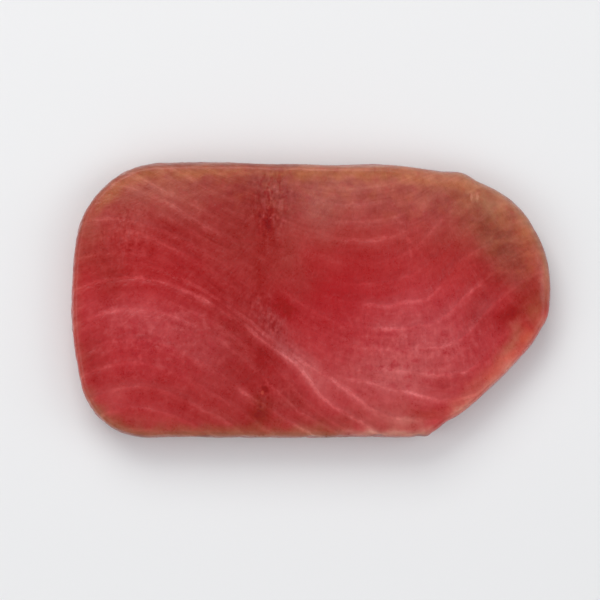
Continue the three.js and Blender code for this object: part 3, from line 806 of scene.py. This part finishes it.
# ---- the mesh, in metres ----
# A face that bends at a corner of the grid starts from the corner that splits it into the fuller halves.
def thinnest(a, b, c, d):
    """How thin the thinner half of each face is when it is split from a to c."""
    out = []
    for e in (b, d):
        area = np.linalg.norm(np.cross(e - a, c - a), axis=1)
        out.append(area / np.max([np.linalg.norm(t, axis=1) for t in (e - a, c - e, c - a)], 0))
    return np.minimum(*out)


a, b, c, d = (P[quads[:, i]] for i in range(4))
other_way = thinnest(a, b, c, d) < 0.6 * thinnest(b, c, d, a)
quads[other_way] = np.roll(quads[other_way], -1, axis=1)

mesh = bpy.data.meshes.new("tuna_fillet_flesh")
mesh.vertices.add(len(P))
mesh.vertices.foreach_set("co", (P / 1000.0).astype(np.float32).ravel())
loops = np.concatenate([quads.ravel(), tris.ravel()]).astype(np.int32)
starts = np.concatenate(
    [np.arange(len(quads)) * 4, len(quads) * 4 + np.arange(len(tris)) * 3]
).astype(np.int32)
mesh.loops.add(len(loops))
mesh.loops.foreach_set("vertex_index", loops)
mesh.polygons.add(len(starts))
mesh.polygons.foreach_set("loop_start", starts)
mesh.polygons.foreach_set("use_smooth", np.ones(len(starts), bool))
mesh.update(calc_edges=True)
mesh.validate()

# a map of the surface for baking: the top with its rim and sides folded flat, and below it the flat face
low_at, high_at = laid_out.min(0) - 0.8, laid_out.max(0) + 0.8
above = np.full((len(P), 2), 0.5)
above[: len(laid_out)] = (laid_out - low_at) / (high_at - low_at) * [1.0, 0.705] + [0.0, 0.295]
beneath = (P[:, :2] / [-LENGTH, WIDTH] + 0.5) * [0.98, 0.275] + [0.01, 0.008]
corners = np.concatenate([above[quads[:SIDE_QUADS].ravel()], beneath[loops[SIDE_QUADS * 4 :]]])
mesh.uv_layers.new(name="OFBake").uv.foreach_set("vector", corners.astype(np.float32).ravel())


def store(name, values):
    """Three numbers kept at each point of the mesh, for its material."""
    a = mesh.attributes.new(name, "FLOAT_VECTOR", "POINT")
    a.data.foreach_set("vector", np.ascontiguousarray(values, np.float32).ravel())


store("tone", np.clip(shade, 0, 255) / 255.0)
store("sheets", np.column_stack([number, gap, strength]))
store("fibres", np.column_stack([across, reach, x]))
store("grain", np.column_stack([level, haze_zone, blots]))
store("extras", np.column_stack([seam_away, seam_strength, skin]))
store("walls", np.column_stack([upright, skinned, below]))

fillet = bpy.data.objects.new("tuna_fillet_flesh", mesh)
bpy.context.scene.collection.objects.link(fillet)

# ---- material ----
# Its colours are worked out as they should look from above. What the gloss adds is taken off at the
# end, and the strength of the light divided out, which leaves the colour of the flesh itself.
GLOSS = (0.0190, 0.0155, 0.0165)
LIT = (0.989, 0.967, 0.974)

mat = bpy.data.materials.new("raw_flesh_look")
mat.use_nodes = True
nt = mat.node_tree
nt.nodes.clear()


def node(kind, **values):
    n = nt.nodes.new(kind)
    for key, value in values.items():
        setattr(n, key, value)
    return n


def feed(socket, value):
    if isinstance(value, bpy.types.NodeSocket):
        nt.links.new(value, socket)
    else:
        socket.default_value = value


def maths(op, *inputs, clamp=False):
    n = node("ShaderNodeMath", operation=op, use_clamp=clamp)
    for i, value in enumerate(inputs):
        feed(n.inputs[i], value)
    return n.outputs[0]


def times(*values):
    out = values[0]
    for v in values[1:]:
        out = maths("MULTIPLY", out, v)
    return out


def plus(*values):
    out = values[0]
    for v in values[1:]:
        out = maths("ADD", out, v)
    return out


def vectors(op, *inputs):
    n = node("ShaderNodeVectorMath", operation=op)
    for i, value in enumerate(inputs):
        feed(n.inputs[i], value)
    return n.outputs[0]


def ramp(value, a, b, low=0.0, high=1.0):
    n = node("ShaderNodeMapRange", interpolation_type="SMOOTHSTEP", clamp=True)
    for i, v in enumerate((value, a, b, low, high)):
        feed(n.inputs[i], v)
    return n.outputs[0]


def blend(amount, a, b):
    n = node("ShaderNodeMix", data_type="VECTOR", clamp_factor=True)
    feed(n.inputs[0], amount)
    feed(n.inputs[4], a)
    feed(n.inputs[5], b)
    return n.outputs[1]


def add_tint(colour, amount, tint):
    """The colour made lighter or darker by the amount, in the tint's proportions."""
    n = node("ShaderNodeVectorMath", operation="SCALE")
    n.inputs[0].default_value = tint
    feed(n.inputs["Scale"], amount)
    return vectors("ADD", colour, n.outputs[0])


def seen_as(*c):
    return tuple(v / 255 for v in c)


def split(vector):
    n = node("ShaderNodeSeparateXYZ")
    nt.links.new(vector, n.inputs[0])
    return n.outputs


def parts(name):
    a = node("ShaderNodeAttribute", attribute_type="GEOMETRY", attribute_name=name)
    return split(a.outputs["Vector"])


def grain_noise(vector, scale, detail=2.0, rough=0.5):
    """Soft noise round zero, in units of its usual spread."""
    n = node("ShaderNodeTexNoise", noise_dimensions="3D")
    nt.links.new(vector, n.inputs["Vector"])
    n.inputs["Scale"].default_value = scale
    n.inputs["Detail"].default_value = detail
    n.inputs["Roughness"].default_value = rough
    return maths("MULTIPLY_ADD", n.outputs["Fac"], 11.0, -5.5)


def place(x_, y_, z_):
    n = node("ShaderNodeCombineXYZ")
    for i, v in enumerate((x_, y_, z_)):
        feed(n.inputs[i], v)
    return n.outputs[0]


coords = node("ShaderNodeTexCoord")
to_mm = node("ShaderNodeVectorMath", operation="SCALE")
nt.links.new(coords.outputs["Object"], to_mm.inputs[0])
to_mm.inputs["Scale"].default_value = 1000.0
mm = to_mm.outputs[0]

sheet_no, sheet_gap, sheet_strength = parts("sheets")
fibre_across, fibre_along, course_x = parts("fibres")
grain_level, grain_haze, grain_blots = parts("grain")
seam_far, seam_much, grain_skin = parts("extras")
wall_up, wall_skin, _ = parts("walls")
off_wall = maths("SUBTRACT", 1.0, wall_up)

# distance to the nearest connective sheet, mm, with a fine wander
wander = grain_noise(mm, 0.30, 2.0)
fray = grain_noise(mm, 0.95, 2.0)
whole = maths("ROUND", sheet_no)
signed = times(maths("SUBTRACT", sheet_no, whole), sheet_gap)
signed = plus(signed, times(wander, 0.16), times(fray, 0.09))
far = maths("ABSOLUTE", signed)
# each sheet shows in stretches, and comes apart into threads
stretches = ramp(grain_noise(place(times(course_x, 0.085), times(whole, 7.3), 2.0), 1.0, 2.0), -1.2, 1.5, 0.45, 1.55)
beads = ramp(grain_noise(mm, 0.75, 2.0), -1.6, 1.6, 0.55, 1.25)
seen = times(sheet_strength, stretches)
thread = times(ramp(far, 1.0, 0.05), seen, beads)
veil = times(ramp(far, 2.3, 0.1), seen, plus(0.4, times(off_wall, 0.6)))
cloud = times(ramp(far, 4.6, 0.4), seen, seen, off_wall)
strands = times(
    ramp(grain_noise(place(times(course_x, 0.16), times(signed, 2.1), times(whole, 5.1)), 1.0, 2.0), 0.2, 1.6),
    ramp(far, 1.7, 0.4),
    seen,
)
seam = times(
    ramp(plus(seam_far, times(wander, 0.4)), 1.1, 0.1),
    seam_much,
    ramp(grain_noise(mm, 0.4, 2.0), -1.2, 0.9),
)

# grain
mottle = grain_noise(mm, 0.20, 3.0, 0.55)
speckle = grain_noise(mm, 0.50, 2.0, 0.5)
fine = grain_noise(mm, 1.15, 2.0, 0.5)
streak = grain_noise(place(times(fibre_across, 0.95), times(fibre_along, 0.17), 0.0), 1.0, 2.0, 0.5)
streak_fine = grain_noise(place(times(fibre_across, 2.0), times(fibre_along, 0.42), 3.0), 1.0, 2.0, 0.5)
leaves = grain_noise(place(times(sheet_no, 5.6), times(course_x, 0.07), 9.0), 1.0, 2.0, 0.55)
bigger = grain_noise(mm, 0.085, 2.0)
ticks = grain_noise(vectors("MULTIPLY", mm, (0.62, 0.34, 0.4)), 1.0, 3.0, 0.6)
combed = grain_noise(vectors("MULTIPLY", mm, (0.85, 0.20, 0.3)), 1.0, 2.0, 0.55)

amount = times(mottle, 1.9)
amount = plus(amount, times(speckle, 1.4), times(fine, 0.6))
amount = plus(amount, times(leaves, 1.5))
amount = times(amount, grain_level)
amount = plus(amount, times(streak, plus(0.6, times(grain_haze, 1.0))))
amount = plus(amount, times(streak_fine, plus(0.25, times(grain_haze, 0.35))))
amount = plus(amount, times(ticks, plus(0.5, times(grain_haze, 1.9))))
amount = plus(amount, times(bigger, 1.6))
_, across_y, _ = split(mm)
amount = plus(amount, times(combed, grain_blots, ramp(across_y, 6.0, 20.0, 1.8, 4.6)))
# on the sides: fibres cut across, and thin layers that run along the skinned side
hairs = grain_noise(vectors("MULTIPLY", mm, (1.15, 1.15, 0.17)), 1.0, 2.0, 0.55)
layer = grain_noise(vectors("MULTIPLY", mm, (0.085, 0.085, 0.80)), 1.0, 3.0, 0.62)
amount = plus(amount, times(hairs, wall_up, maths("SUBTRACT", 3.2, times(wall_skin, 2.4))))
amount = plus(amount, times(layer, plus(times(wall_skin, 4.6), times(wall_up, 1.4))))

# pale dots and dark pits where the flesh is blotched
cells = node("ShaderNodeTexVoronoi", feature="F1", voronoi_dimensions="3D")
nt.links.new(mm, cells.inputs["Vector"])
cells.inputs["Scale"].default_value = 0.50
dots = ramp(cells.outputs["Distance"], 0.46, 0.16)
pits = node("ShaderNodeTexVoronoi", feature="F1", voronoi_dimensions="3D")
nt.links.new(vectors("ADD", mm, (31.0, 17.0, 5.0)), pits.inputs["Vector"])
pits.inputs["Scale"].default_value = 0.42
holes = ramp(pits.outputs["Distance"], 0.38, 0.12)
amount = plus(amount, times(dots, grain_blots, 12.0))
amount = plus(amount, times(holes, plus(times(grain_blots, -7.0), -3.0)))

tone_in = node("ShaderNodeAttribute", attribute_type="GEOMETRY", attribute_name="tone").outputs["Vector"]
# blotches: deep red where the flesh is clear, paler and greyer where it is cloudy
blot = grain_noise(vectors("MULTIPLY", mm, (1.0, 0.45, 1.0)), 0.46, 2.0, 0.6)
patchy = grain_noise(mm, 0.33, 3.0, 0.55)
colour = blend(times(ramp(blot, 0.25, 1.5), grain_blots, 0.56), tone_in, seen_as(144, 29, 30))
colour = blend(times(ramp(blot, -0.2, -1.6), grain_blots, 0.45), colour, seen_as(176, 84, 84))
# in the pale haze, which is partly painted glare, the deeper and paler patches show more
colour = blend(times(ramp(patchy, 0.3, 1.7), plus(0.12, times(grain_haze, 0.38))), colour, seen_as(170, 44, 52))
colour = blend(times(ramp(patchy, -0.3, -1.7), plus(0.08, times(grain_haze, 0.42))), colour, seen_as(202, 98, 99))
colour = add_tint(colour, times(amount, 1 / 255), (1.0, 0.93, 0.88))
# the skin side is mottled between tan, olive and brown
tan = ramp(grain_noise(vectors("MULTIPLY", mm, (0.7, 1.25, 1.0)), 0.17, 2.0, 0.5), -1.3, 1.6, -1.0, 1.0)
tan = times(tan, maths("SUBTRACT", 1.0, times(wall_skin, 0.7)))
warm = ramp(grain_noise(vectors("ADD", mm, (7.0, 3.0, 1.0)), 0.21, 2.0), 0.2, 1.8)
colour = add_tint(colour, times(tan, grain_skin, 5.5 / 255), (1.0, 1.0, 0.6))
colour = blend(times(warm, grain_skin, 0.13), colour, seen_as(182, 96, 56))
membrane = ramp(grain_noise(vectors("MULTIPLY", mm, (0.055, 0.055, 0.36)), 1.0, 3.0, 0.6), 0.3, 1.1)
colour = blend(times(membrane, wall_skin, 0.42), colour, seen_as(172, 106, 94))


def mark(at, half, much, tint):
    """A small mark or painted highlight on the top face, with soft and uneven edges."""
    global colour
    sx, sy, sz = split(mm)
    u = maths("DIVIDE", maths("SUBTRACT", sx, at[0]), half[0])
    v = maths("DIVIDE", maths("SUBTRACT", sy, at[1]), half[1])
    reach = maths("SQRT", plus(times(u, u), times(v, v)))
    w = times(ramp(plus(reach, times(fray, 0.12)), 1.35, 0.5), ramp(sz, 11.0, 13.0), much)
    colour = blend(w, colour, seen_as(*tint))


# painted highlights: two pale ticks by the step in the rim
mark((61.9, 40.0), (0.6, 1.6), 0.5, (202, 134, 112))  # two pale ticks by the step in the rim
mark((64.1, 40.0), (0.6, 1.6), 0.55, (202, 132, 110))
mark((-17.9, -34.3), (1.6, 1.3), 0.5, (128, 26, 22))  # a small pit
mark((-18.8, -35.6), (0.6, 0.8), 0.6, (198, 86, 72))
# sheets
line = plus(times(thread, 15.5), times(strands, 8.0), times(veil, 5.5), times(cloud, 4.5), times(seam, 18.0))
colour = add_tint(colour, times(line, 1 / 255), (1.0, 1.0, 0.99))

# from what is seen to the flesh itself
linear = vectors("POWER", vectors("MULTIPLY_ADD", colour, (1 / 1.055,) * 3, (0.055 / 1.055,) * 3), (2.4,) * 3)
linear = vectors("MULTIPLY_ADD", linear, tuple(1 / v for v in LIT), tuple(-g / v for g, v in zip(GLOSS, LIT)))
linear = vectors("MAXIMUM", linear, (0.004, 0.0025, 0.0025))

# relief too fine for the mesh
height = plus(times(streak, 0.16), times(streak_fine, 0.12), times(fine, 0.12), times(speckle, 0.14), times(leaves, 0.12))
height = plus(height, times(thread, -0.5))
bumps = node("ShaderNodeBump")
bumps.inputs["Strength"].default_value = 0.34
bumps.inputs["Distance"].default_value = 0.00022
nt.links.new(height, bumps.inputs["Height"])

gloss = plus(0.32, times(mottle, 0.02), times(fine, 0.02), times(grain_skin, 0.06))

shader = node("ShaderNodeBsdfPrincipled")
nt.links.new(linear, shader.inputs["Base Color"])
nt.links.new(gloss, shader.inputs["Roughness"])
nt.links.new(bumps.outputs["Normal"], shader.inputs["Normal"])
shader.inputs["IOR"].default_value = 1.34
shader.inputs["Subsurface Weight"].default_value = 0.15
shader.inputs["Subsurface Radius"].default_value = (1.0, 0.25, 0.2)
shader.inputs["Subsurface Scale"].default_value = 0.0018
shader.inputs["Coat Weight"].default_value = 0.2
shader.inputs["Coat Roughness"].default_value = 0.16
shader.inputs["Coat IOR"].default_value = 1.34
out = node("ShaderNodeOutputMaterial")
nt.links.new(shader.outputs[0], out.inputs["Surface"])
mesh.materials.append(mat)

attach(fillet, "root")
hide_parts("tuna_fillet")

# ---- floor, light and camera ----
floor_mesh = bpy.data.meshes.new("floor")
floor_mesh.from_pydata(
    [(-3, -3, -0.0002), (3, -3, -0.0002), (3, 3, -0.0002), (-3, 3, -0.0002)], [], [(0, 1, 2, 3)]
)
floor = bpy.data.objects.new("floor", floor_mesh)
bpy.context.scene.collection.objects.link(floor)
floor_mat = bpy.data.materials.new("floor_look")
floor_mat.use_nodes = True
f = floor_mat.node_tree.nodes["Principled BSDF"]
f.inputs["Base Color"].default_value = (0.83, 0.83, 0.835, 1)
f.inputs["Roughness"].default_value = 0.8
f.inputs["Specular IOR Level"].default_value = 0.2
floor_mesh.materials.append(floor_mat)

# a room whose walls are bright and whose ceiling is dim, so that the gloss doesn't bleach the red
ROOM = [(0, 0.30), (0.48, 0.33), (0.68, 0.90), (0.90, 0.90), (0.985, 0.20), (0.999, 0.18)]  # height, brightness
world = bpy.data.worlds.new("room")
world.use_nodes = True
wt = world.node_tree
way = wt.nodes.new("ShaderNodeTexCoord")
apart = wt.nodes.new("ShaderNodeSeparateXYZ")
wt.links.new(way.outputs["Generated"], apart.inputs[0])
fall = wt.nodes.new("ShaderNodeValToRGB")
stops = fall.color_ramp.elements
for at, bright in ROOM:
    stop = stops[0] if at == 0 else stops.new(at)
    stop.color = (bright, bright, bright, 1)
stops.remove(stops[-1])
fall.color_ramp.interpolation = "EASE"
wt.links.new(apart.outputs["Z"], fall.inputs[0])
wt.links.new(fall.outputs[0], wt.nodes["Background"].inputs["Strength"])
wt.nodes["Background"].inputs["Color"].default_value = (0.97, 0.98, 1.0, 1)
bpy.context.scene.world = world


def softbox(name, at, size, power, colour=(1, 1, 1)):
    data = bpy.data.lights.new(name, "AREA")
    data.shape = "RECTANGLE"
    data.size, data.size_y = size
    data.energy = power
    data.color = colour
    lamp = bpy.data.objects.new(name, data)
    lamp.location = at
    lamp.rotation_euler = (Vector((0, 0, 0.01)) - Vector(at)).to_track_quat("-Z", "Y").to_euler()
    bpy.context.scene.collection.objects.link(lamp)
    return lamp


softbox("key", (-0.45, 1.3, 1.25), (1.4, 1.0), 15.0, (1.0, 0.99, 0.97))
softbox("fill_right", (1.45, 0.1, 1.1), (1.0, 1.0), 4.6, (0.98, 0.99, 1.0))
softbox("fill_left", (-1.45, -0.3, 1.1), (1.0, 1.0), 4.6, (0.98, 0.99, 1.0))

camera_data = bpy.data.cameras.new("camera")
camera_data.sensor_width = 36.0
camera_data.lens = 152.6
camera_data.clip_end = 20.0
camera = bpy.data.objects.new("camera", camera_data)
camera.location = (-0.00429, 0.0001, 0.9964)
camera.rotation_euler = (0, 0, 0)
bpy.context.scene.collection.objects.link(camera)
bpy.context.scene.camera = camera
bpy.context.scene.view_settings.view_transform = "Standard"
